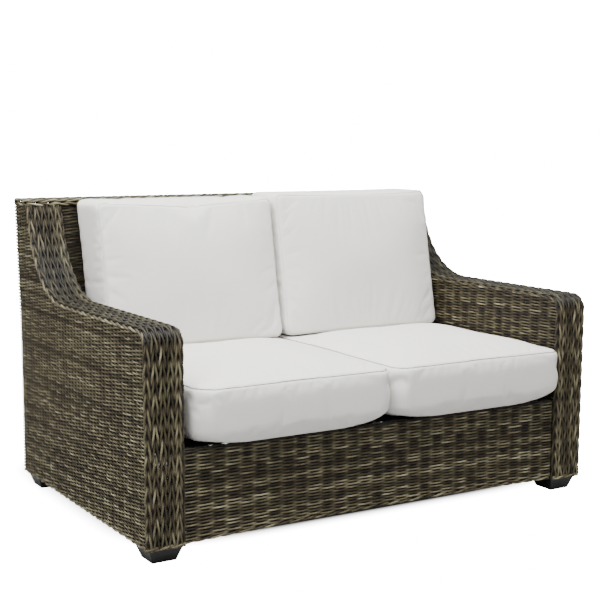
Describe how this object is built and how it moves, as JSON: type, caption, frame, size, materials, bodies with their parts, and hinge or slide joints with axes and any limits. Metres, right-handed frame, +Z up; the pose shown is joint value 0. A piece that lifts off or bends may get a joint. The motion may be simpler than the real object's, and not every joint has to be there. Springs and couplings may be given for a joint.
{
  "type": "patio loveseat",
  "caption": "Woven resin patio loveseat: block arms sweeping up to a high back, loose boxed seat and back cushions, strap deck, tapered feet.",
  "frame": {"origin": "on the floor, midway between the two ends and between the seat cushions' front and the back's rear", "axes": "+X towards the viewer's right (the sitter's left), -Y to the front, +Z up; left and right in names are the viewer's, from the front"},
  "size_m": [1.473, 0.9885, 0.9043],
  "materials": {
    "frame_coat": "dark brown powder coat",
    "woven_resin": "weathered grey brown round strand",
    "cushion_canvas": "off-white plain canvas",
    "cushion_foam": "open cell foam",
    "zip_tape": "off-white coil zip",
    "deck_strap": "black elastic webbing",
    "foot_black": "satin black",
    "bright_steel": "zinc plated"
  },
  "bodies": {
    "frame": {"apron_bottom_rail": "frame_coat", "apron_skin": "woven_resin", "apron_struts": "frame_coat", "arm_band_skin_left": "woven_resin", "arm_band_skin_right": "woven_resin", "arm_frame_inner_left": "frame_coat", "arm_frame_inner_right": "frame_coat", "arm_frame_outer_left": "frame_coat", "arm_frame_outer_right": "frame_coat", "arm_seat_rails": "frame_coat", "arm_spreaders_left": "frame_coat", "arm_spreaders_right": "frame_coat", "back_bottom_rail": "frame_coat", "back_front_skin": "woven_resin", "back_front_uprights": "frame_coat", "back_rear_skin": "woven_resin", "back_rear_uprights": "frame_coat", "back_ties": "frame_coat", "back_top_rails": "frame_coat", "foot_front_left": "foot_black", "foot_front_right": "foot_black", "foot_plates": "frame_coat", "foot_rear_left": "foot_black", "foot_rear_right": "foot_black", "foot_screws": "bright_steel", "seat_centre_bar": "frame_coat", "seat_front_rail": "frame_coat", "seat_gussets": "frame_coat", "seat_rear_rail": "frame_coat", "seat_side_rails": "frame_coat", "seat_straps_crosswise": "deck_strap", "seat_straps_lengthwise": "deck_strap", "side_inner_skin_left": "woven_resin", "side_inner_skin_right": "woven_resin", "side_outer_skin_left": "woven_resin", "side_outer_skin_right": "woven_resin", "strap_clips": "bright_steel", "top_braid": "woven_resin"},
    "seat_cushion_left": {"seat_cushion_left_core": "cushion_foam", "seat_cushion_left_cover": "cushion_canvas", "seat_cushion_left_zip": "zip_tape"},
    "seat_cushion_right": {"seat_cushion_right_core": "cushion_foam", "seat_cushion_right_cover": "cushion_canvas", "seat_cushion_right_zip": "zip_tape"},
    "back_cushion_left": {"back_cushion_left_core": "cushion_foam", "back_cushion_left_cover": "cushion_canvas", "back_cushion_left_zip": "zip_tape"},
    "back_cushion_right": {"back_cushion_right_core": "cushion_foam", "back_cushion_right_cover": "cushion_canvas", "back_cushion_right_zip": "zip_tape"}
  },
  "joints": [
    {"name": "seat_cushion_left_lift", "type": "slide", "parent": "frame", "child": "seat_cushion_left", "axis": [0, 0, 1], "range_m": [0, 0.36]},
    {"name": "back_cushion_left_lift", "type": "slide", "parent": "seat_cushion_left", "child": "back_cushion_left", "axis": [0, 0, 1], "range_m": [0, 0.46]},
    {"name": "seat_cushion_right_lift", "type": "slide", "parent": "frame", "child": "seat_cushion_right", "axis": [0, 0, 1], "range_m": [0, 0.36]},
    {"name": "back_cushion_right_lift", "type": "slide", "parent": "seat_cushion_right", "child": "back_cushion_right", "axis": [0, 0, 1], "range_m": [0, 0.46]}
  ]
}
